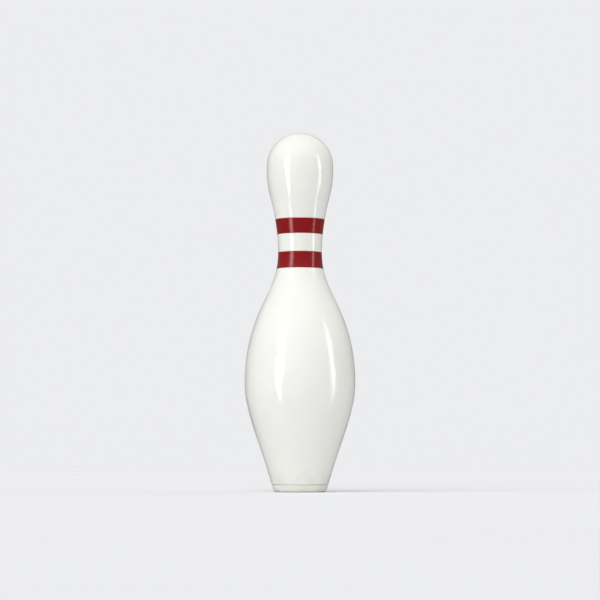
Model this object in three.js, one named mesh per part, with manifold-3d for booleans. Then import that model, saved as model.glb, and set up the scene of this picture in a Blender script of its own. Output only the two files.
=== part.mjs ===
// A tenpin bowling pin, in the pieces that it is made from: boards and belly blocks of hard maple, glued up
// and turned to shape, a nylon base ring keyed into the foot, a moulded ionomer coating that locks onto the
// ring, and two neck bands set flush into shallow rebates in the coating, where a real pin has them printed.
// Units are millimetres and +Z is up. The origin is the middle of the face that the pin stands on.
import * as THREE from "three";
import { mergeVertices } from "three/addons/utils/BufferGeometryUtils.js";
import Module from "manifold-3d";

// ---- Driving dimensions ----

const INCH = 25.4;
const PIN_HEIGHT = 15 * INCH; // the height of every tenpin
const HEAD_RADIUS = 35.25; // the crown is half a ball of this radius
const EQUATOR = PIN_HEIGHT - HEAD_RADIUS; // height at which the crown's half ball begins

const FOOT_CORNER = 4; // radius of the rounded edge that the pin stands on
const FOOT = { diameter: 57.6, slope: 0.265 }; // at the top of that edge; the slope is radius over height

// Diameter of the turned outline at 1 inch of height, 2 inches, and so on up to 13.
const DIAMETERS = [70.1, 87.7, 103.7, 115.3, 116.4, 110.3, 96.6, 74.9, 53.4, 46.3, 49.8, 59.2, 69.8];

const COATING = 3; // thickness of the moulded coating
const GAP = 0.3; // room for glue or for a fit between touching pieces
const FACETS = 36; // flats round a turned piece
const FACET_ERROR = 0.2; // how far a facet may fall inside the outline between two rings
const OVERRUN = 1; // how far a cut runs past what it cuts

const SEAM = 8; // height at which the coating ends and the base ring shows
const RING = { inner: 16, top: 14 }; // the base ring's bore, and the height of its shoulder under the wood
const LOCK = { foot: 9.6, top: 11.8, depth: 1.4 }; // the ring's groove that the coating fills
const TONGUE = { inner: 19, outer: 22.5, height: 5 }; // rib on the ring that keys into the wood
const PLUG_FOOT = 0.8; // height of the wood in the ring's bore: the pin stands on the ring alone
const SPINDLE = { radius: 8, top: 40 }; // blind hole that a lathe or a display peg holds the pin by

const BOARD = { thickness: 22, width: 66 }; // each of the three full-height boards, before turning
const BELLY_BLOCK = { foot: 36, top: 199 }; // where the shorter blocks that fill out the belly are sawn off
const BLANK_WIDTH = 130; // of the glued-up blank, wider than the belly everywhere
const VOIDS = { radius: 12.7, heights: [92, 138] }; // holes bored across the middle board to trim the weight

// Each band lies between these heights.
const BANDS = {
  lower: { foot: 236, top: 253.5 },
  upper: { foot: 272.5, top: 288.5 },
};
const BAND_THICKNESS = 0.5;
const BAND_REBATE = BAND_THICKNESS + GAP;

// ---- The outline ----

// A cubic spline through the stations with a given slope at each end, as functions of height.
function splineThrough(stations, startSlope, endSlope) {
  const h = stations.map((s) => s.height);
  const r = stations.map((s) => s.diameter / 2);
  const last = h.length - 1;
  const rise = (i) => (r[i + 1] - r[i]) / (h[i + 1] - h[i]);
  const lower = [0];
  const right = [6 * (rise(0) - startSlope)];
  const middle = [2 * (h[1] - h[0])];
  // Forward sweep of the tridiagonal system for the second derivatives.
  for (let i = 1; i <= last; i++) {
    const before = h[i] - h[i - 1];
    const after = i < last ? h[i + 1] - h[i] : 0;
    const jump = i < last ? rise(i) - rise(i - 1) : endSlope - rise(i - 1);
    lower[i] = before / middle[i - 1];
    middle[i] = 2 * (before + after) - lower[i] * before;
    right[i] = 6 * jump - lower[i] * right[i - 1];
  }
  const bend = [];
  bend[last] = right[last] / middle[last];
  for (let i = last - 1; i >= 0; i--) {
    bend[i] = (right[i] - (h[i + 1] - h[i]) * bend[i + 1]) / middle[i];
  }
  return (height) => {
    let i = 0;
    while (i < last - 1 && height > h[i + 1]) i++;
    const step = h[i + 1] - h[i];
    const a = (h[i + 1] - height) / step;
    const b = (height - h[i]) / step;
    const third = (step * step) / 6;
    return {
      radius: a * r[i] + b * r[i + 1] + third * ((a ** 3 - a) * bend[i] + (b ** 3 - b) * bend[i + 1]),
      slope: rise(i) + (step / 6) * ((3 * b * b - 1) * bend[i + 1] - (3 * a * a - 1) * bend[i]),
    };
  };
}

const flank = splineThrough(
  [
    { height: FOOT_CORNER, diameter: FOOT.diameter },
    ...DIAMETERS.map((diameter, i) => ({ height: (i + 1) * INCH, diameter })),
    { height: EQUATOR, diameter: 2 * HEAD_RADIUS },
  ],
  FOOT.slope,
  0,
);

// The height between two others at which the outline neither widens nor narrows.
function levelHeight(below, above) {
  let [low, high] = [below, above];
  const turn = Math.sign(flank(low).slope);
  for (let i = 0; i < 30; i++) {
    const middle = (low + high) / 2;
    if (Math.sign(flank(middle).slope) === turn) low = middle;
    else high = middle;
  }
  return low;
}

const BELLY = levelHeight(4 * INCH, 6 * INCH);
const NECK = levelHeight(9 * INCH, 11 * INCH);

// The point on the outline at a height, moved inwards along the outline's normal.
function flankPoint(height, inset = 0) {
  const { radius, slope } = flank(height);
  const length = Math.hypot(1, slope);
  return new THREE.Vector2(radius - inset / length, height + (inset * slope) / length);
}

// Heights of the rings of facets between two heights, closer together where the outline curves more.
function ringsBetween(from, to) {
  const count = 200;
  const heights = Array.from({ length: count + 1 }, (_, i) => from + ((to - from) * i) / count);
  const rings = [0];
  for (let i = 1; i <= count; i++) {
    const [low, high] = [flank(heights[i - 1]), flank(heights[i])];
    const step = heights[i] - heights[i - 1];
    const turn = Math.abs(Math.atan(high.slope) - Math.atan(low.slope));
    rings[i] = rings[i - 1] + Math.sqrt((turn * Math.hypot(step, step * low.slope)) / (8 * FACET_ERROR));
  }
  const total = Math.ceil(rings[count]);
  const heightAt = (ring) => heights[rings.findIndex((r) => r >= (rings[count] * ring) / total)];
  return Array.from({ length: total }, (_, i) => heightAt(i));
}

// Rings from one height to the crown's equator, with one at the widest and one at the narrowest height.
function ringHeights(from) {
  const below = [...ringsBetween(from, BELLY), ...ringsBetween(BELLY, NECK)];
  return [...below, ...ringsBetween(NECK, EQUATOR), EQUATOR];
}

// The outline from a height on the flank to the tip of the crown, moved inwards by inset.
function outline(from, inset = 0) {
  const points = ringHeights(from).map((height) => flankPoint(height, inset));
  const radius = HEAD_RADIUS - inset;
  const steps = Math.ceil(Math.PI / 4 / Math.acos(1 - FACET_ERROR / radius));
  for (let i = 1; i <= steps; i++) {
    const angle = ((Math.PI / 2) * i) / steps;
    const out = i < steps ? radius * Math.cos(angle) : 0;
    points.push(new THREE.Vector2(out, EQUATOR + radius * Math.sin(angle)));
  }
  return points;
}

// The inset outline's radius at an exact height.
function insetRadius(height, inset) {
  let from = height;
  for (let i = 0; i < 20; i++) {
    from += height - flankPoint(from, inset).y;
  }
  return flankPoint(from, inset).x;
}

// ---- Shapes ----

const wasm = await Module();
wasm.setup();

const point = (radius, height) => new THREE.Vector2(radius, height);

// A profile of radius and height, turned about the Z axis.
function turned(profile) {
  return new THREE.LatheGeometry(profile, FACETS).rotateX(Math.PI / 2);
}

// A closed geometry as a solid that can be joined and cut.
function solid(geometry) {
  const bare = geometry.clone().deleteAttribute("normal").deleteAttribute("uv");
  const merged = mergeVertices(bare, 1e-4);
  return new wasm.Manifold(
    new wasm.Mesh({
      numProp: 3,
      vertProperties: merged.attributes.position.array,
      triVerts: new Uint32Array(merged.index.array),
    }),
  );
}

function geometryOf(made) {
  const mesh = made.getMesh();
  const geometry = new THREE.BufferGeometry();
  geometry.setAttribute("position", new THREE.BufferAttribute(mesh.vertProperties, 3));
  geometry.setIndex(new THREE.BufferAttribute(mesh.triVerts, 1));
  geometry.computeVertexNormals();
  return geometry;
}

// A box between two corners, each [x, y, z].
function box(low, high) {
  const size = high.map((v, i) => v - low[i]);
  const middle = high.map((v, i) => (v + low[i]) / 2);
  return solid(new THREE.BoxGeometry(...size).translate(...middle));
}

function cylinderAlongX(radius, length, height) {
  const geometry = new THREE.CylinderGeometry(radius, radius, length, FACETS / 2);
  return solid(geometry.rotateZ(Math.PI / 2).translate(0, 0, height));
}

// ---- Pieces ----

const pin = new THREE.Group();

const materials = {
  coating: new THREE.MeshStandardMaterial({ color: 0xf0f1eb, roughness: 0.18, metalness: 0 }),
  band: new THREE.MeshStandardMaterial({ color: 0x871414, roughness: 0.2, metalness: 0 }),
  nylon: new THREE.MeshStandardMaterial({ color: 0xe4e4dc, roughness: 0.5, metalness: 0 }),
  maple: new THREE.MeshStandardMaterial({ color: 0xd9b68a, roughness: 0.6, metalness: 0 }),
};

function add(name, geometry, material) {
  const mesh = new THREE.Mesh(geometry, material);
  mesh.name = name;
  pin.add(mesh);
}

// The outline's points, with a step inwards at each band.
function rebated(points) {
  const bands = [BANDS.lower, BANDS.upper].map(({ foot, top }) => ({ foot: foot - GAP, top: top + GAP }));
  const inBand = (height) => bands.find((b) => height > b.foot - OVERRUN && height < b.top + OVERRUN);
  const kept = points.filter((p) => p.x === 0 || !inBand(p.y));
  for (const { foot, top } of bands) {
    const middle = (foot + top) / 2;
    const floor = [foot, middle, top].map((height) => point(flank(height).radius - BAND_REBATE, height));
    const at = kept.findIndex((p) => p.y > foot);
    kept.splice(at, 0, point(flank(foot).radius, foot), ...floor, point(flank(top).radius, top));
  }
  return kept;
}

// The moulded skin: open at the foot, with an inner rib that fills the base ring's groove.
function coating() {
  const outer = [point(0, SEAM), ...rebated(outline(SEAM))];
  const wallAt = (height) => insetRadius(height, COATING);
  const inner = [
    point(0, SEAM - OVERRUN),
    point(wallAt(SEAM), SEAM - OVERRUN),
    point(wallAt(SEAM), SEAM),
    point(wallAt(LOCK.foot), LOCK.foot),
    point(wallAt(LOCK.foot) - LOCK.depth, LOCK.foot + LOCK.depth / 4),
    point(wallAt(LOCK.top) - LOCK.depth, LOCK.top - LOCK.depth / 4),
    point(wallAt(LOCK.top), LOCK.top),
    point(wallAt(RING.top), RING.top),
    ...outline(RING.top + GAP, COATING).filter((p) => p.y > RING.top),
  ];
  return solid(turned(outer)).subtract(solid(turned(inner)));
}

// The rounded edge between the foot's flat face and the flank.
function footCorner() {
  const edge = FOOT.diameter / 2 - FOOT.slope * FOOT_CORNER; // where the flank's line meets the floor
  const lean = Math.atan(FOOT.slope);
  const tangent = FOOT_CORNER * Math.tan((Math.PI / 2 - lean) / 2);
  const steps = 5;
  return Array.from({ length: steps + 1 }, (_, i) => {
    const angle = -Math.PI / 2 + ((Math.PI / 2 - lean) * i) / steps;
    return point(
      edge - tangent + FOOT_CORNER * Math.cos(angle),
      FOOT_CORNER + FOOT_CORNER * Math.sin(angle),
    );
  });
}

// The nylon ring that the pin stands on. Its tongue goes up into the wood, and the coating grips its waist.
function baseRing() {
  const wallAt = (height) => insetRadius(height, COATING + GAP);
  const seam = SEAM - GAP;
  const tongueTop = RING.top + TONGUE.height;
  return turned([
    point(RING.inner, PLUG_FOOT),
    point(RING.inner + PLUG_FOOT, 0),
    ...footCorner(),
    point(flank(seam).radius, seam),
    point(wallAt(SEAM), seam),
    point(wallAt(LOCK.foot), LOCK.foot - GAP),
    point(wallAt(LOCK.foot) - LOCK.depth, LOCK.foot + LOCK.depth / 4 - GAP),
    point(wallAt(LOCK.top) - LOCK.depth, LOCK.top - LOCK.depth / 4 + GAP),
    point(wallAt(LOCK.top), LOCK.top + GAP),
    point(wallAt(RING.top), RING.top),
    point(TONGUE.outer, RING.top),
    point(TONGUE.outer, tongueTop),
    point(TONGUE.inner, tongueTop),
    point(TONGUE.inner, RING.top),
    point(RING.inner, RING.top),
    point(RING.inner, PLUG_FOOT),
  ]);
}

// The whole turned core, before it is divided into the boards and blocks that it was glued up from. Its plug
// goes down inside the base ring, and the groove above takes the ring's tongue.
function core() {
  const foot = RING.top + GAP;
  const grooveTop = RING.top + TONGUE.height + GAP;
  const surface = outline(foot, COATING + GAP).filter((p) => p.y > foot);
  return solid(
    turned([
      point(0, SPINDLE.top),
      point(SPINDLE.radius, SPINDLE.top),
      point(SPINDLE.radius, PLUG_FOOT),
      point(RING.inner - GAP, PLUG_FOOT),
      point(RING.inner - GAP, foot),
      point(TONGUE.inner - GAP, foot),
      point(TONGUE.inner - GAP, grooveTop),
      point(TONGUE.outer + GAP, grooveTop),
      point(TONGUE.outer + GAP, foot),
      point(insetRadius(foot, COATING + GAP), foot),
      ...surface,
    ]),
  );
}

// A band round the neck, flush with the outline.
function neckBand({ foot, top }) {
  const heights = [foot, (foot + top) / 2, top];
  const outer = heights.map((height) => point(flank(height).radius, height));
  const inner = heights.map((height) => point(flank(height).radius - BAND_THICKNESS, height));
  return turned([...outer, ...inner.reverse(), outer[0].clone()]);
}

// One piece of the core, sawn between the given ranges of x, y and z, less half a glue line on each face.
function sawn(wood, ranges) {
  const low = ranges.map((range) => range[0] + GAP / 2);
  const high = ranges.map((range) => range[1] - GAP / 2);
  return wood.intersect(box(low, high));
}

// Two holes bored across a board trim the pin's weight.
function bored(board) {
  const bore = (height) => cylinderAlongX(VOIDS.radius, 2 * BOARD.thickness, height);
  return VOIDS.heights.reduce((cut, height) => cut.subtract(bore(height)), board);
}

// Three boards side by side run the full height. Four blocks on their faces fill out the belly: those at the
// front and back are the wide ones, and cover the edges of those at the sides.
function corePieces() {
  const inner = BOARD.thickness / 2;
  const outer = BOARD.width / 2;
  const blank = BLANK_WIDTH / 2;
  const boards = [-outer, outer];
  const full = [0, PIN_HEIGHT];
  const belly = [BELLY_BLOCK.foot, BELLY_BLOCK.top];
  const wood = core();
  return {
    left_board: sawn(wood, [[-outer, -inner], boards, full]),
    middle_board: bored(sawn(wood, [[-inner, inner], boards, full])),
    right_board: sawn(wood, [[inner, outer], boards, full]),
    left_belly_block: sawn(wood, [[-blank, -outer], boards, belly]),
    right_belly_block: sawn(wood, [[outer, blank], boards, belly]),
    front_belly_block: sawn(wood, [[-blank, blank], [-blank, -outer], belly]),
    back_belly_block: sawn(wood, [[-blank, blank], [outer, blank], belly]),
  };
}

add("coating", geometryOf(coating()), materials.coating);
add("base_ring", baseRing(), materials.nylon);
add("lower_neck_band", neckBand(BANDS.lower), materials.band);
add("upper_neck_band", neckBand(BANDS.upper), materials.band);
for (const [name, piece] of Object.entries(corePieces())) {
  add(name, geometryOf(piece), materials.maple);
}

export default pin;
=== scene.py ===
import math

import bmesh
import bpy
import numpy as np
from mathutils import Matrix, Vector


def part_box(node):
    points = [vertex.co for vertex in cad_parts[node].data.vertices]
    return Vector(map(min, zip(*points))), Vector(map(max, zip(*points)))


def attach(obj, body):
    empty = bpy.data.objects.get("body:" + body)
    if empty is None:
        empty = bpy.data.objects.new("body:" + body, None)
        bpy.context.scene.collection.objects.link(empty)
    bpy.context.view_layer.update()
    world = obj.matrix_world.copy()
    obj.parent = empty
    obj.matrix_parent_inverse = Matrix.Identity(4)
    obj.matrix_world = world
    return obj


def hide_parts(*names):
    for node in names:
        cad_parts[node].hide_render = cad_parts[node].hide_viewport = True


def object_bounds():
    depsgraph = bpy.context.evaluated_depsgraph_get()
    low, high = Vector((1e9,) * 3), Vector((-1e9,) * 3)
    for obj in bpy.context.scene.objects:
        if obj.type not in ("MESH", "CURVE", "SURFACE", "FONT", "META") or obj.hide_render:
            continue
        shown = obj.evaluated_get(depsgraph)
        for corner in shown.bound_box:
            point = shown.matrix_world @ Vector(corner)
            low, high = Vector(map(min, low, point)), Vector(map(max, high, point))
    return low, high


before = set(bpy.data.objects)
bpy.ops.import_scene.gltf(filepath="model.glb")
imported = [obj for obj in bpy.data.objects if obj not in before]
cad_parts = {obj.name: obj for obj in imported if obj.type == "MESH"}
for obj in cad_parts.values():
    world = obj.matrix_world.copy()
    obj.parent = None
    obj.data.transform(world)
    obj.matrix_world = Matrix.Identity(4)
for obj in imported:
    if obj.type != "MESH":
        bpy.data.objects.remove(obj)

CAD_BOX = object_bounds()
MM = 0.001

# ---- Sizes of the fine detail ----

SEGMENTS = 192  # facets round a turned piece
RING_SPACING = 1.7 * MM  # between the coating's rings outside
INNER_SPACING = 6 * MM  # and inside
FINE_SPACING = 0.2 * MM  # between the points that a radius is looked up in

INK_PROUD = 0.05 * MM  # how far a printed band stands out of the coating
INK_DEPTH = 0.30 * MM  # and how far it goes in
INK_GAP = 0.02 * MM  # between the ink and the coating
INK_EDGE = 0.06 * MM  # radius of the ink's edge
BAND_RINGS = 14  # heights at which a band and its rebate follow the outline
BAND_MARGIN = 0.5 * MM  # the coating's CAD points this near to a band belong to its rebate

LIP_RADIUS = 0.5 * MM  # of the coating's edge at the seam above the base ring
SMALL_FILLET = 0.25 * MM  # of the moulded edges out of sight
RING_FILLET = 0.35 * MM  # of the base ring's edges
FOOT_CORNER = 4 * MM  # radius of the rounded edge that the pin stands on
RIB_REACH = 7 * MM  # the coating's rib ends less than this above the lowest point of its inside

GAP = 0.3 * MM  # room between the wood and the pieces round it
SPINDLE_RADIUS = 8 * MM  # of the blind hole in the foot
SPINDLE_TOP = 40 * MM
VOID_RADIUS = 12.7 * MM  # of the two holes bored across the middle board
VOID_HEIGHTS = (92 * MM, 138 * MM)
VOID_SEGMENTS = 96
GRAIN_SEGMENTS = 128  # facets round the turned wood
TURNED_REACH = 40 * MM  # a piece of wood that reaches further out than this ends in the turned surface
SHARP_EDGE = math.radians(28)  # the wood's edges that turn by more than this are drawn sharp

# ---- Colours, linear ----

IVORY = (0.893, 0.900, 0.851)
WARM_IVORY = (0.880, 0.870, 0.790)
GRIME = (0.62, 0.59, 0.50)
SCUFF = (0.36, 0.355, 0.34)
BAND_RED = (0.262, 0.006, 0.007)
DEEP_RED = (0.225, 0.005, 0.006)
WORN_RED = (0.55, 0.30, 0.27)
NYLON = (0.84, 0.84, 0.785)
WARM_NYLON = (0.80, 0.79, 0.72)
WORN_NYLON = (0.50, 0.47, 0.40)
EARLY_MAPLE = (0.64, 0.46, 0.27)
LATE_MAPLE = (0.56, 0.38, 0.21)
MAPLE_FIBRE = (0.70, 0.53, 0.34)
MAPLE_PORE = (0.27, 0.16, 0.08)
FLOOR = (0.865, 0.866, 0.872)
FLOOR_SHADE = 0.985  # the floor's darker patches, as a share of its colour
BACKGROUND = (0.840, 0.845, 0.858)
SKY_TINT = (0.97, 0.98, 1.0)

# ---- Surface detail ----

# Features in a metre, and how deep the bump is.
WAVES = (34, 1.3 * MM)
RIPPLES = (125, 0.18 * MM)
ORANGE_PEEL = (620, 0.04 * MM)

BELLY_RUBS = (80 * MM, 145 * MM, 25 * MM)  # lowest and highest, and how softly they end
FOOT_RUBS = (10 * MM, 32 * MM, 10 * MM)
GRIME_SPAN = (8 * MM, 30 * MM)  # where it is thickest, and where it ends
RING_WEAR_TOP = 5 * MM
RUB_DEPTH = 0.02 * MM
INK_RIM = 0.35 * MM  # from the ink's edge to the middle of where its chips fade out
INK_RIM_FADE = 0.3 * MM  # and how far they take to fade, either way
INK_SPECULAR = 0.28
TURNING_PITCH = 0.9 * MM  # of the marks on the base ring
TURNING_DEPTH = 0.004 * MM
NYLON_GRAIN_DEPTH = 0.02 * MM
GROWTH_PITCH = 2.3 * MM  # of the maple's growth rings
GROWTH_WARP = 16 * MM  # how far they wander
FIBRE_DEPTH = 0.04 * MM
PORE_DEPTH = 0.05 * MM
PAPER_GRAIN_DEPTH = 0.02 * MM  # of the floor
SUBSURFACE_REACH = 2.5 * MM  # how far light goes into the plastic
SUBSURFACE_TINT = (1.0, 0.85, 0.6)  # the share of that for red, green and blue

# ---- Camera ----

EYE_HEIGHT = 0.045  # the camera is just above the floor
DISTANCE = 2.6
SENSOR_WIDTH = 36  # millimetres
FILL = 0.598  # share of the frame's height that the pin takes up
FOOT_LINE = 0.820  # where the pin's foot is in the frame, from its top

# ---- Light ----

PIN_MIDDLE = 0.19  # the height that every light is aimed at
SUN_DISTANCE = 3.0
STRIP_DISTANCE = 1.9
STRIP_HEIGHT = 2.0
# Azimuth, elevation and angle across in degrees, and strength in watts per square metre.
SUNS = {
    "soft_key": (38, 48, 70, 1.65),
    "soft_fill": (250, 35, 90, 0.75),
    "soft_front": (8, 6, 40, 0.40),
}
# Azimuth and elevation in degrees, width in metres, and power in watts.
STRIPS = {
    "left_strip": (44, 8, 0.50, 16),
    "right_strip": (-72, 8, 0.32, 9),
}
SKY = 0.45  # brightness of the even light from all round, where 1 is white
STUDIO_LIGHT = (0.16, 0.80)  # brightness of what the gloss reflects, low down and high up
STUDIO_RISE = (0.05, 0.75)  # sines of the elevations between which it goes from one to the other
FLOOR_FADE = (1.0, 3.0)  # distances between which the floor fades into the background
FLOOR_SEGMENTS = 96


# ---- Outlines ----


def profile_of(node):
    """A turned CAD node's outline in the half plane y = 0, x >= 0, as (radius, height) points in order.

    An open outline starts at its higher end on the axis, and a closed one at its lowest and outermost
    point."""
    mesh = bmesh.new()
    mesh.from_mesh(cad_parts[node].data)
    bmesh.ops.remove_doubles(mesh, verts=mesh.verts, dist=1e-6)
    inside = {v for v in mesh.verts if abs(v.co.y) < 1e-6 and v.co.x > -1e-6}
    beside = {v: [e.other_vert(v) for e in v.link_edges if e.other_vert(v) in inside] for v in inside}
    ends = [v for v in inside if len(beside[v]) == 1]
    if ends:
        at = max(ends, key=lambda v: v.co.z)
    else:
        at = min(inside, key=lambda v: (round(v.co.z, 6), -v.co.x))
    path = [at]
    while True:
        onward = [v for v in beside[at] if v not in path]
        if not onward:
            break
        at = max(onward, key=lambda v: v.co.x) if len(path) == 1 else onward[0]
        path.append(at)
    points = np.array([(max(v.co.x, 0.0), v.co.z) for v in path])
    mesh.free()
    return points


def smooth_curve(points, start, end, spacing):
    """Points about spacing apart on a cubic spline through the given ones.

    start and end are its directions there, as unit vectors."""
    p = np.array(points, float)
    h = np.linalg.norm(np.diff(p, axis=0), axis=1)
    s = np.concatenate([[0], np.cumsum(h)])
    n = len(p)
    system = np.eye(n)
    right = np.zeros((n, 2))
    right[0], right[-1] = start, end
    for i in range(1, n - 1):
        system[i, i - 1 : i + 2] = h[i], 2 * (h[i - 1] + h[i]), h[i - 1]
        right[i] = 3 * (h[i] / h[i - 1] * (p[i] - p[i - 1]) + h[i - 1] / h[i] * (p[i + 1] - p[i]))
    tangent = np.linalg.solve(system, right)
    at = np.linspace(0, s[-1], max(2, round(s[-1] / spacing) + 1))
    i = np.clip(np.searchsorted(s, at) - 1, 0, n - 2)
    step = h[i][:, None]
    t = (at - s[i])[:, None] / step
    return (
        (2 * t**3 - 3 * t**2 + 1) * p[i]
        + (t**3 - 2 * t**2 + t) * step * tangent[i]
        + (3 * t**2 - 2 * t**3) * p[i + 1]
        + (t**3 - t**2) * step * tangent[i + 1]
    )


def unit(vector):
    return np.array(vector, float) / np.linalg.norm(vector)


def rounded(points, radii, steps=4):
    """A closed outline with each corner replaced by an arc of its radius, or kept where that is 0.

    A corner that is almost straight is kept too, and an arc takes up less than half of either edge."""
    longest_share = 0.45
    almost_straight = math.radians(80)
    out = []
    count = len(points)
    for i, (point, radius) in enumerate(zip(points, radii)):
        before = np.array(points[i - 1]) - point
        after = np.array(points[(i + 1) % count]) - point
        room = longest_share * min(np.linalg.norm(before), np.linalg.norm(after))
        before, after = unit(before), unit(after)
        half = math.acos(float(np.clip(before @ after, -1, 1))) / 2
        if radius == 0 or half > almost_straight:
            out.append(tuple(point))
            continue
        reach = min(radius / math.tan(half), room)
        start, end = np.array(point) + before * reach, np.array(point) + after * reach
        middle = np.array(point) + unit(before + after) * reach / math.cos(half)
        for share in np.linspace(0, 1, steps + 1):
            way = (1 - share) * start + share * end
            out.append(tuple(middle + unit(way - middle) * reach * math.tan(half)))
    return out


BANDS = {name: profile_of(name) for name in ("lower_neck_band", "upper_neck_band")}
SHELL = profile_of("coating")
LIP = int(np.argmin(SHELL[:, 1]))  # the last point of the coating's outside, at the seam
INSIDE = SHELL[LIP + 1 :]
FREE = int(np.argmax(INSIDE[:, 1] > INSIDE[:, 1].min() + RIB_REACH))  # the first point inside above the rib


def flank_points():
    """CAD points on the pin's outline, from the coating's lip past the bands to the tip of the crown."""
    outside = SHELL[: LIP + 1]
    for band in BANDS.values():
        low, high = band[:, 1].min() - BAND_MARGIN, band[:, 1].max() + BAND_MARGIN
        outside = outside[(outside[:, 1] < low) | (outside[:, 1] > high)]
    faces = [[(r, z) for r, z in band if r == band[band[:, 1] == z, 0].max()] for band in BANDS.values()]
    points = np.vstack([outside, *faces])
    return points[np.argsort(points[:, 1])]


def outline(spacing):
    points = flank_points()
    return smooth_curve(points, unit(points[1] - points[0]), (-1, 0), spacing)


FINE_OUTLINE = outline(FINE_SPACING)


def hollow_outline():
    """The coating's inside above the rib, from the base ring's shoulder to the crown, as a smooth curve."""
    start = unit(INSIDE[FREE + 1] - INSIDE[FREE])
    return smooth_curve(INSIDE[FREE:], start, (-1, 0), INNER_SPACING)


def radius_at(height):
    return float(np.interp(height, FINE_OUTLINE[:, 1], FINE_OUTLINE[:, 0]))


def band_span(node):
    return BANDS[node][:, 1].min(), BANDS[node][:, 1].max()


# ---- Meshes ----


def linked(name, mesh):
    """An object made of the bmesh, which is used up, and put in the scene."""
    data = bpy.data.meshes.new(name)
    mesh.to_mesh(data)
    mesh.free()
    made = bpy.data.objects.new(name, data)
    bpy.context.scene.collection.objects.link(made)
    return made


def turned(name, profile, segments=SEGMENTS):
    """A mesh of the profile turned about Z. The profile closes on itself, or starts and ends on the axis."""
    angles = np.arange(segments) * (2 * math.pi / segments)
    mesh = bmesh.new()
    rings = []
    for radius, height in profile:
        on_axis = radius < 1e-7
        around = [0.0] if on_axis else angles
        reach = 0.0 if on_axis else radius
        rings.append([mesh.verts.new((reach * math.cos(a), reach * math.sin(a), height)) for a in around])
    open_ended = len(rings[0]) == 1 and len(rings[-1]) == 1
    pairs = zip(rings[:-1], rings[1:]) if open_ended else zip(rings, rings[1:] + rings[:1])
    for low, high in pairs:
        for i in range(segments):
            j = (i + 1) % segments
            below = [low[i % len(low)], low[j % len(low)]]
            above = [high[j % len(high)], high[i % len(high)]]
            mesh.faces.new(list(dict.fromkeys(below + above)))
    bmesh.ops.recalc_face_normals(mesh, faces=mesh.faces)
    for face in mesh.faces:
        face.smooth = True
    return linked(name, mesh)


def rebate(band):
    """The coating's outline down into the rebate that a band's ink fills, and out again."""
    low, high = band_span(band)
    low, high = low - INK_GAP, high + INK_GAP
    depth = INK_DEPTH + INK_GAP
    inner = [(radius_at(z) - depth, z) for z in np.linspace(low, high, BAND_RINGS)]
    return [(radius_at(low), low), *inner, (radius_at(high), high)]


def coating():
    """The moulded coating, with a rebate for each band and a rib inside that locks into the base ring."""
    outside = [tuple(p) for p in outline(RING_SPACING)]
    for band in BANDS:
        low, high = band_span(band)
        below = [p for p in outside if p[1] < low - INK_GAP - INK_EDGE]
        above = [p for p in outside if p[1] > high + INK_GAP + INK_EDGE]
        outside = below + rebate(band) + above
    hollow = [tuple(p) for p in hollow_outline()]
    locked = rounded([tuple(p) for p in INSIDE[: FREE + 1]], [SMALL_FILLET] * (FREE + 1))
    ends = [outside[1], outside[0], *[tuple(p) for p in INSIDE[:2]]]
    corner = rounded(ends, [0, LIP_RADIUS, SMALL_FILLET, 0])[1:-1]
    # rounded() also bends the two ends of an open run, so only what lies between them is kept.
    low, high = INSIDE[0][1] + SMALL_FILLET, INSIDE[FREE][1] - SMALL_FILLET
    rib = [p for p in locked if low < p[1] < high]
    path = [*reversed(hollow), *reversed(rib), *reversed(corner), *outside[1:]]
    path[0] = (0.0, path[0][1])
    path[-1] = (0.0, path[-1][1])
    return turned("moulded_coating", path)


def printed_band(node, name):
    """A band of ink round the neck, a little proud of the coating, with soft edges."""
    low, high = band_span(node)
    heights = np.linspace(low, high, BAND_RINGS)
    outer = [(radius_at(z) + INK_PROUD, z) for z in heights]
    inner = [(radius_at(z) - INK_DEPTH, z) for z in reversed(heights)]
    points = outer + inner
    corners = {0, len(outer) - 1}
    return turned(name, rounded(points, [INK_EDGE if i in corners else 0 for i in range(len(points))]))


def base_ring():
    """The nylon ring, with its foot's corner as a true arc and its other edges softened."""
    points = profile_of("base_ring")
    bottom = points[:, 1].min()
    flat = points[0]
    seam = points[np.argmax(points[:, 0])]
    arc = [p for p in points if bottom < p[1] < seam[1] and p[0] > flat[0]]
    flank = max(arc, key=lambda p: p[1])
    slope = (seam[0] - flank[0]) / (seam[1] - flank[1])
    edge = (seam[0] - slope * (seam[1] - bottom), bottom)
    kept = [tuple(p) for p in points if not any(np.array_equal(p, a) for a in arc)]
    kept[0] = edge
    radii = [FOOT_CORNER if p == edge else RING_FILLET for p in kept]
    return turned("nylon_base_ring", rounded(kept, radii, steps=10))


def core_profile():
    """The turned core, with the blind hole, the plug in the base ring and the groove for its tongue."""
    ring = profile_of("base_ring")
    shoulder = ring[ring[:, 0] == ring[:, 0].min(), 1].max()
    tongue = ring[ring[:, 1] == ring[:, 1].max(), 0]
    plug = ring[:, 0].min() - GAP
    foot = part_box("middle_board")[0].z
    wall = hollow_outline()
    along = np.gradient(wall, axis=0)
    inward = np.stack([-along[:, 1], along[:, 0]], axis=1) / np.linalg.norm(along, axis=1)[:, None]
    surface = wall + inward * GAP
    surface = surface[surface[:, 1] > shoulder + 2 * GAP]
    low = shoulder + GAP
    groove_top = ring[:, 1].max() + GAP
    slope = (surface[1] - surface[0]) / (surface[1, 1] - surface[0, 1])
    start = surface[0] - slope * (surface[0, 1] - low)
    return [
        (0.0, SPINDLE_TOP),
        (SPINDLE_RADIUS, SPINDLE_TOP),
        (SPINDLE_RADIUS, foot),
        (plug, foot),
        (plug, low),
        (tongue.min() - GAP, low),
        (tongue.min() - GAP, groove_top),
        (tongue.max() + GAP, groove_top),
        (tongue.max() + GAP, low),
        tuple(start),
        *[tuple(p) for p in surface[:-1]],
        (0.0, surface[-1, 1]),
    ]


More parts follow.
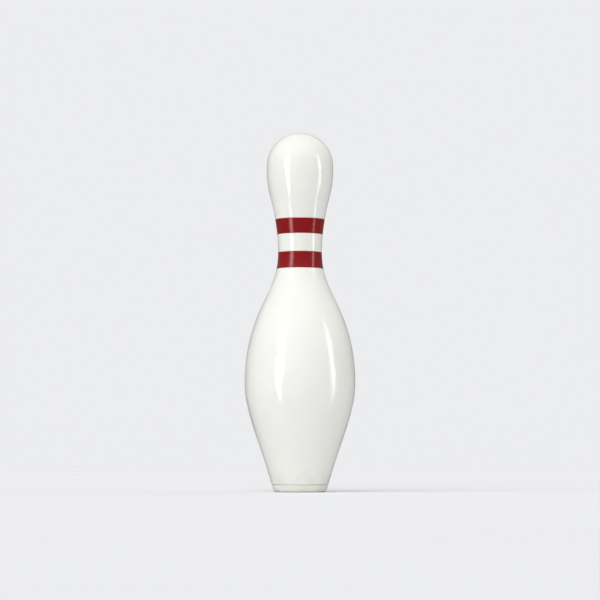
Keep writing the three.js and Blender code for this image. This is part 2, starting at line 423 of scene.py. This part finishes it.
def saw_box(node):
    """The box that a piece of wood was sawn to. It is larger where the piece ends in the turned surface."""
    low, high = (np.array(corner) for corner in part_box(node))
    past_low, past_high = low < -TURNED_REACH, high > TURNED_REACH
    past_low[2] = past_high[2] = "board" in node
    return low - past_low * TURNED_REACH, high + past_high * TURNED_REACH


def box_mesh(name, low, high):
    mesh = bmesh.new()
    bmesh.ops.create_cube(mesh, size=1.0)
    for vert in mesh.verts:
        vert.co = Vector([low[i] if vert.co[i] < 0 else high[i] for i in range(3)])
    return linked(name, mesh)


def bore_mesh(name, height):
    """A rod along X, to bore a hole with."""
    mesh = bmesh.new()
    turn = Matrix.Rotation(math.pi / 2, 4, "Y")
    bmesh.ops.create_cone(
        mesh,
        cap_ends=True,
        segments=VOID_SEGMENTS,
        radius1=VOID_RADIUS,
        radius2=VOID_RADIUS,
        depth=2 * TURNED_REACH,
        matrix=Matrix.Translation((0, 0, height)) @ turn,
    )
    return linked(name, mesh)


def cut(piece, tool, operation):
    """Apply one exact boolean to a piece, and throw the tool away."""
    step = piece.modifiers.new("cut", "BOOLEAN")
    step.object = tool
    step.operation = operation
    step.solver = "EXACT"
    made = bpy.data.meshes.new_from_object(piece.evaluated_get(bpy.context.evaluated_depsgraph_get()))
    piece.modifiers.clear()
    old, piece.data = piece.data, made
    bpy.data.meshes.remove(old)
    bpy.data.objects.remove(tool)


def sawn(node, core):
    """One board or block of the core, with the same cuts as its CAD node."""
    piece = core.copy()
    piece.data = core.data.copy()
    piece.name = f"maple_{node}"
    bpy.context.scene.collection.objects.link(piece)
    cut(piece, box_mesh("saw", *saw_box(node)), "INTERSECT")
    if node == "middle_board":
        for height in VOID_HEIGHTS:
            cut(piece, bore_mesh("bore", height), "DIFFERENCE")
    piece.data.name = piece.name
    piece.data.set_sharp_from_angle(angle=SHARP_EDGE)
    return piece


# ---- Materials ----


class Nodes:
    """A material's node tree, with short calls for the nodes that these materials use."""

    def __init__(self, name):
        self.material = bpy.data.materials.new(name)
        self.material.use_nodes = True
        self.tree = self.material.node_tree
        self.shader = next(n for n in self.tree.nodes if n.type == "BSDF_PRINCIPLED")
        self.place = self.node("ShaderNodeTexCoord").outputs["Object"]

    def node(self, kind, **settings):
        made = self.tree.nodes.new(kind)
        for key, value in settings.items():
            setattr(made, key, value)
        return made

    def link(self, source, socket):
        self.tree.links.new(source, socket)

    def feed(self, value, socket):
        if isinstance(value, bpy.types.NodeSocket):
            self.link(value, socket)
        else:
            socket.default_value = value

    def math(self, operation, a, b=0.0, clamp=False):
        made = self.node("ShaderNodeMath", operation=operation, use_clamp=clamp)
        self.feed(a, made.inputs[0])
        self.feed(b, made.inputs[1])
        return made.outputs[0]

    def split(self, place=None):
        """A point's X, Y and Z."""
        made = self.node("ShaderNodeSeparateXYZ")
        self.link(place or self.place, made.inputs[0])
        return made.outputs

    def height(self):
        return self.split()["Z"]

    def from_axis(self, place=None):
        """The distance from the Z axis."""
        parts = self.split(place)
        across = self.math("POWER", self.math("ABSOLUTE", parts["X"]), 2.0)
        along = self.math("POWER", self.math("ABSOLUTE", parts["Y"]), 2.0)
        return self.math("SQRT", self.math("ADD", across, along))

    def stripes(self, distance, pitch):
        """A wave from -1 to 1 that repeats each time the distance grows by the pitch."""
        return self.math("SINE", self.math("MULTIPLY", distance, 2 * math.pi / pitch))

    def stretched(self, scale=(1, 1, 1), offset=(0, 0, 0)):
        """The place of a point once it is scaled and then moved."""
        made = self.node("ShaderNodeMapping")
        self.link(self.place, made.inputs["Vector"])
        made.inputs["Scale"].default_value = scale
        made.inputs["Location"].default_value = offset
        return made.outputs[0]

    def noise(self, scale, detail=3.0, roughness=0.5, distortion=0.0, place=None):
        made = self.node("ShaderNodeTexNoise")
        self.link(place or self.place, made.inputs["Vector"])
        made.inputs["Scale"].default_value = scale
        made.inputs["Detail"].default_value = detail
        made.inputs["Roughness"].default_value = roughness
        made.inputs["Distortion"].default_value = distortion
        return made.outputs["Fac"]

    def ramp(self, value, low, high, from_value=0.0, to_value=1.0):
        """A soft step from from_value to to_value as value goes from low to high."""
        made = self.node("ShaderNodeMapRange", interpolation_type="SMOOTHSTEP")
        self.feed(value, made.inputs["Value"])
        made.inputs["From Min"].default_value = low
        made.inputs["From Max"].default_value = high
        made.inputs["To Min"].default_value = from_value
        made.inputs["To Max"].default_value = to_value
        return made.outputs["Result"]

    def mix(self, share, a, b):
        made = self.node("ShaderNodeMix", data_type="RGBA")
        self.feed(share, made.inputs[0])
        for value, socket in ((a, made.inputs[6]), (b, made.inputs[7])):
            self.feed((*value, 1) if isinstance(value, tuple) else value, socket)
        return made.outputs[2]

    def bump(self, height, distance, normal=None):
        made = self.node("ShaderNodeBump")
        self.link(height, made.inputs["Height"])
        made.inputs["Distance"].default_value = distance
        if normal is not None:
            self.link(normal, made.inputs["Normal"])
        return made.outputs["Normal"]

    def finish(self, colour, roughness, normal, coat=0.0, coat_roughness=0.06, subsurface=0.0):
        shader = self.shader.inputs
        self.feed(colour, shader["Base Color"])
        self.feed(roughness, shader["Roughness"])
        self.feed(normal, shader["Normal"])
        self.feed(normal, shader["Coat Normal"])
        shader["Coat Weight"].default_value = coat
        shader["Coat Roughness"].default_value = coat_roughness
        if subsurface:
            shader["Subsurface Weight"].default_value = subsurface
            shader["Subsurface Radius"].default_value = SUBSURFACE_TINT
            shader["Subsurface Scale"].default_value = SUBSURFACE_REACH
        return self.material


def within(nodes, low, high, soft):
    """1 between two heights and 0 outside them, with soft edges."""
    height = nodes.height()
    above = nodes.ramp(height, low - soft, low + soft)
    below = nodes.ramp(height, high - soft, high + soft, 1.0, 0.0)
    return nodes.math("MULTIPLY", above, below)


def scuffs(nodes):
    """Faint sideways rub marks round the belly, where other pins strike, and a few near the foot."""
    streaks = nodes.noise(1.0, 3.0, 0.6, distortion=1.6, place=nodes.stretched((38, 38, 430)))
    patches = nodes.noise(17, 3.0, 0.6)
    lines = nodes.ramp(streaks, 0.58, 0.72)
    belly = within(nodes, *BELLY_RUBS)
    foot = within(nodes, *FOOT_RUBS)
    where = nodes.math("MAXIMUM", belly, nodes.math("MULTIPLY", foot, 0.8))
    broken = nodes.math("MULTIPLY", lines, nodes.ramp(patches, 0.48, 0.62))
    return nodes.math("MULTIPLY", broken, where)


def moulded_surface(nodes):
    """The gentle waves, ripples and orange peel of a moulded skin, and of the ink printed on it."""
    waves = nodes.bump(nodes.noise(WAVES[0], 1.0, 0.4), WAVES[1])
    ripples = nodes.bump(nodes.noise(RIPPLES[0], 2.0, 0.45), RIPPLES[1], waves)
    return nodes.bump(nodes.noise(ORANGE_PEEL[0], 2.0, 0.5), ORANGE_PEEL[1], ripples)


def coating_material():
    """Glossy ivory plastic that warms in patches, with rub marks and a little grime near the foot."""
    nodes = Nodes("ivory_ionomer")
    drift = nodes.noise(9, 3.0, 0.55, distortion=0.4)
    mottle = nodes.noise(70, 4.0, 0.6)
    rubbed = scuffs(nodes)
    age = nodes.math("MULTIPLY", nodes.ramp(drift, 0.40, 0.72), 0.80)
    colour = nodes.mix(age, IVORY, WARM_IVORY)
    grime = nodes.ramp(nodes.height(), *GRIME_SPAN, 0.22, 0.0)
    grime = nodes.math("MULTIPLY", grime, nodes.ramp(mottle, 0.35, 0.75))
    colour = nodes.mix(grime, colour, GRIME)
    colour = nodes.mix(nodes.math("MULTIPLY", rubbed, 0.26), colour, SCUFF)
    gloss = nodes.ramp(nodes.noise(26, 4.0, 0.6, distortion=0.3), 0.3, 0.75, 0.12, 0.26)
    roughness = nodes.math("ADD", gloss, nodes.math("MULTIPLY", rubbed, 0.35), clamp=True)
    hollows = nodes.math("MULTIPLY", rubbed, -1.0)
    marks = nodes.bump(hollows, RUB_DEPTH, moulded_surface(nodes))
    return nodes.finish(colour, roughness, marks, coat=0.35, coat_roughness=0.05, subsurface=0.12)


def band_material(node):
    """Dark red ink, finely mottled, with tiny chips along its edges."""
    low, high = band_span(node)
    nodes = Nodes(f"red_ink_{node}")
    film = nodes.noise(95, 4.0, 0.6)
    colour = nodes.mix(nodes.ramp(film, 0.3, 0.75), BAND_RED, DEEP_RED)
    fine = nodes.noise(900, 3.0, 0.6)
    whole = within(nodes, low + INK_RIM, high - INK_RIM, INK_RIM_FADE)
    near_edge = nodes.math("SUBTRACT", 1.0, whole)
    chips = nodes.math("MULTIPLY", near_edge, nodes.ramp(fine, 0.60, 0.68))
    colour = nodes.mix(nodes.math("MULTIPLY", chips, 0.5), colour, WORN_RED)
    gloss = nodes.ramp(nodes.noise(60, 3.0), 0.3, 0.75, 0.15, 0.27)
    nodes.shader.inputs["Specular IOR Level"].default_value = INK_SPECULAR
    return nodes.finish(colour, gloss, moulded_surface(nodes), coat=0.12, coat_roughness=0.05)


def nylon_material():
    """Satin nylon with faint turning marks, worn grey where the ring stands on the floor."""
    nodes = Nodes("moulded_nylon")
    mottle = nodes.noise(620, 4.0, 0.65)
    low_down = nodes.ramp(nodes.height(), 0.0, RING_WEAR_TOP, 0.38, 0.0)
    worn = nodes.math("MULTIPLY", low_down, nodes.ramp(mottle, 0.30, 0.70))
    colour = nodes.mix(nodes.ramp(nodes.noise(60, 3.0), 0.3, 0.7), NYLON, WARM_NYLON)
    colour = nodes.mix(worn, colour, WORN_NYLON)
    satin = nodes.ramp(mottle, 0.3, 0.7, 0.34, 0.50)
    roughness = nodes.math("ADD", satin, nodes.math("MULTIPLY", worn, 0.3))
    turning = nodes.bump(nodes.stripes(nodes.from_axis(), TURNING_PITCH), TURNING_DEPTH)
    grain = nodes.bump(mottle, NYLON_GRAIN_DEPTH, turning)
    return nodes.finish(colour, roughness, grain, subsurface=0.08)


def maple_material(name, heart):
    """Hard maple, with its growth rings about a heart off to one side, pores and fine fleck."""
    nodes = Nodes(f"maple_{name}")
    warp = nodes.noise(1.0, 3.0, 0.5, place=nodes.stretched((14, 14, 2.2), heart))
    from_heart = nodes.from_axis(nodes.stretched(offset=heart))
    wavy = nodes.math("ADD", from_heart, nodes.math("MULTIPLY", warp, GROWTH_WARP))
    late = nodes.ramp(nodes.stripes(wavy, GROWTH_PITCH), 0.1, 1.0)
    fibre = nodes.noise(1.0, 4.0, 0.6, place=nodes.stretched((900, 900, 28)))
    specks = nodes.noise(1.0, 2.0, 0.5, place=nodes.stretched((2400, 2400, 160)))
    pores = nodes.ramp(specks, 0.63, 0.72)
    colour = nodes.mix(late, EARLY_MAPLE, LATE_MAPLE)
    colour = nodes.mix(nodes.ramp(fibre, 0.35, 0.75, 0.0, 0.5), colour, MAPLE_FIBRE)
    colour = nodes.mix(nodes.math("MULTIPLY", pores, 0.45), colour, MAPLE_PORE)
    roughness = nodes.ramp(fibre, 0.3, 0.7, 0.50, 0.66)
    pitted = nodes.bump(nodes.math("MULTIPLY", pores, -1.0), PORE_DEPTH)
    grain = nodes.bump(fibre, FIBRE_DEPTH, pitted)
    return nodes.finish(colour, roughness, grain)


def floor_material():
    """Pale matte paper that fades into the plain background far behind the pin."""
    nodes = Nodes("pale_paper")
    colour = nodes.mix(nodes.noise(3.0, 2.0), FLOOR, tuple(FLOOR_SHADE * c for c in FLOOR))
    nodes.shader.inputs["Specular IOR Level"].default_value = 0.0
    nodes.finish(colour, 0.9, nodes.bump(nodes.noise(400, 2.0), PAPER_GRAIN_DEPTH))
    across = nodes.node("ShaderNodeVectorMath", operation="LENGTH")
    nodes.link(nodes.place, across.inputs[0])
    fade = nodes.ramp(across.outputs["Value"], *FLOOR_FADE)
    mixed = nodes.node("ShaderNodeMixShader")
    nodes.link(fade, mixed.inputs[0])
    nodes.link(nodes.shader.outputs[0], mixed.inputs[1])
    nodes.link(nodes.node("ShaderNodeBsdfTransparent").outputs[0], mixed.inputs[2])
    output = next(n for n in nodes.tree.nodes if n.type == "OUTPUT_MATERIAL")
    nodes.link(mixed.outputs[0], output.inputs["Surface"])
    return nodes.material


def wear(piece, material):
    piece.data.materials.clear()
    piece.data.materials.append(material)


# ---- The pin ----


def settle(piece, material, node):
    """Give a piece its material and its body, and hide the CAD node whose place it takes."""
    wear(piece, material)
    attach(piece, "root")
    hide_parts(node)


def add_pieces():
    settle(coating(), coating_material(), "coating")
    for node in BANDS:
        band = printed_band(node, node.replace("neck_band", "band_print"))
        settle(band, band_material(node), node)
    settle(base_ring(), nylon_material(), "base_ring")


def add_wood():
    """The boards and blocks, each with the heart of its growth rings in a place of its own."""
    hearts = {
        "left_board": (0.09, 0.05, 0.0),
        "middle_board": (-0.02, 0.11, 0.1),
        "right_board": (-0.10, -0.04, 0.2),
        "left_belly_block": (0.16, 0.03, 0.3),
        "right_belly_block": (-0.15, 0.06, 0.4),
        "front_belly_block": (0.04, 0.17, 0.5),
        "back_belly_block": (-0.05, -0.16, 0.6),
    }
    core = turned("core", core_profile(), GRAIN_SEGMENTS)
    for node, heart in hearts.items():
        settle(sawn(node, core), maple_material(node, heart), node)
    bpy.data.objects.remove(core)


# ---- Studio ----


def add_floor():
    mesh = bmesh.new()
    bmesh.ops.create_circle(mesh, cap_ends=True, segments=FLOOR_SEGMENTS, radius=FLOOR_FADE[1])
    floor = linked("studio_floor", mesh)
    wear(floor, floor_material())
    floor.visible_glossy = False  # so that the gloss low on the pin reflects the dark side of the studio


def toward(azimuth, elevation):
    """The direction from the pin to a light. Azimuth is from the front, clockwise seen from above."""
    a, e = math.radians(azimuth), math.radians(elevation)
    return Vector((-math.sin(a) * math.cos(e), -math.cos(a) * math.cos(e), math.sin(e)))


def add_light(kind, name, azimuth, elevation, distance, **settings):
    """A lamp that faces the middle of the pin and isn't seen by the camera."""
    data = bpy.data.lights.new(name, kind)
    for key, value in settings.items():
        setattr(data, key, value)
    light = bpy.data.objects.new(name, data)
    out = toward(azimuth, elevation)
    light.location = Vector((0, 0, PIN_MIDDLE)) + out * distance
    light.rotation_mode = "QUATERNION"
    light.rotation_quaternion = out.to_track_quat("Z", "Y")
    light.visible_camera = False
    bpy.context.scene.collection.objects.link(light)
    return light


def add_lights():
    """Broad soft suns that light the floor evenly, and tall softboxes that only shine in reflections."""
    for name, (azimuth, elevation, across, strength) in SUNS.items():
        angle = math.radians(across)
        sun = add_light("SUN", name, azimuth, elevation, SUN_DISTANCE, energy=strength, angle=angle)
        sun.visible_glossy = False
    for name, (azimuth, elevation, width, power) in STRIPS.items():
        shape = {"shape": "ELLIPSE", "size": width, "size_y": STRIP_HEIGHT}
        strip = add_light("AREA", name, azimuth, elevation, STRIP_DISTANCE, energy=power, **shape)
        strip.visible_diffuse = False


def add_world():
    """The camera sees a plain pale background, and an even sky lights the floor and the pin.

    The gloss sees a studio, dark low down and bright overhead, so that the pin's sides end darker."""
    world = bpy.data.worlds.new("studio_world")
    bpy.context.scene.world = world
    world.use_nodes = True
    tree = world.node_tree
    output = next(n for n in tree.nodes if n.type == "OUTPUT_WORLD")
    sky = tree.nodes["Background"]
    sky.inputs["Color"].default_value = (*SKY_TINT, 1)
    sky.inputs["Strength"].default_value = SKY
    parts = tree.nodes.new("ShaderNodeSeparateXYZ")
    tree.links.new(tree.nodes.new("ShaderNodeTexCoord").outputs["Generated"], parts.inputs[0])
    rise = tree.nodes.new("ShaderNodeMapRange")
    rise.interpolation_type = "SMOOTHSTEP"
    tree.links.new(parts.outputs["Z"], rise.inputs["Value"])
    sockets = ("From Min", "From Max", "To Min", "To Max")
    for socket, value in zip(sockets, (*STUDIO_RISE, *STUDIO_LIGHT)):
        rise.inputs[socket].default_value = value
    studio = tree.nodes.new("ShaderNodeBackground")
    studio.inputs["Color"].default_value = (1, 1, 1, 1)
    tree.links.new(rise.outputs["Result"], studio.inputs["Strength"])
    plain = tree.nodes.new("ShaderNodeBackground")
    plain.inputs["Color"].default_value = (*BACKGROUND, 1)
    rays = tree.nodes.new("ShaderNodeLightPath").outputs
    seen = sky
    for ray, background in (("Is Glossy Ray", studio), ("Is Camera Ray", plain)):
        mixed = tree.nodes.new("ShaderNodeMixShader")
        tree.links.new(rays[ray], mixed.inputs[0])
        tree.links.new(seen.outputs[0], mixed.inputs[1])
        tree.links.new(background.outputs[0], mixed.inputs[2])
        seen = mixed
    tree.links.new(seen.outputs[0], output.inputs["Surface"])


def add_camera():
    """A long lens just above the floor. FOOT_LINE and FILL say where the pin's foot and height are."""
    data = bpy.data.cameras.new("camera")
    camera = bpy.data.objects.new("camera", data)
    bpy.context.scene.collection.objects.link(camera)
    top = CAD_BOX[1].z
    down = math.atan2(EYE_HEIGHT, DISTANCE)
    up = math.atan2(top - EYE_HEIGHT, DISTANCE)
    below = FOOT_LINE - 0.5
    above = FILL - below
    tilt = (up + down) * below / (below + above) - down
    frame_half = math.tan(tilt + down) * 0.5 / below
    data.sensor_width = SENSOR_WIDTH
    data.lens = data.sensor_width / 2 / frame_half
    camera.location = (0, -DISTANCE, EYE_HEIGHT)
    camera.rotation_euler = (math.pi / 2 + tilt, 0, 0)
    bpy.context.scene.camera = camera


add_camera()
add_pieces()
add_wood()
add_floor()
add_lights()
add_world()
bpy.context.scene.view_settings.view_transform = "Standard"
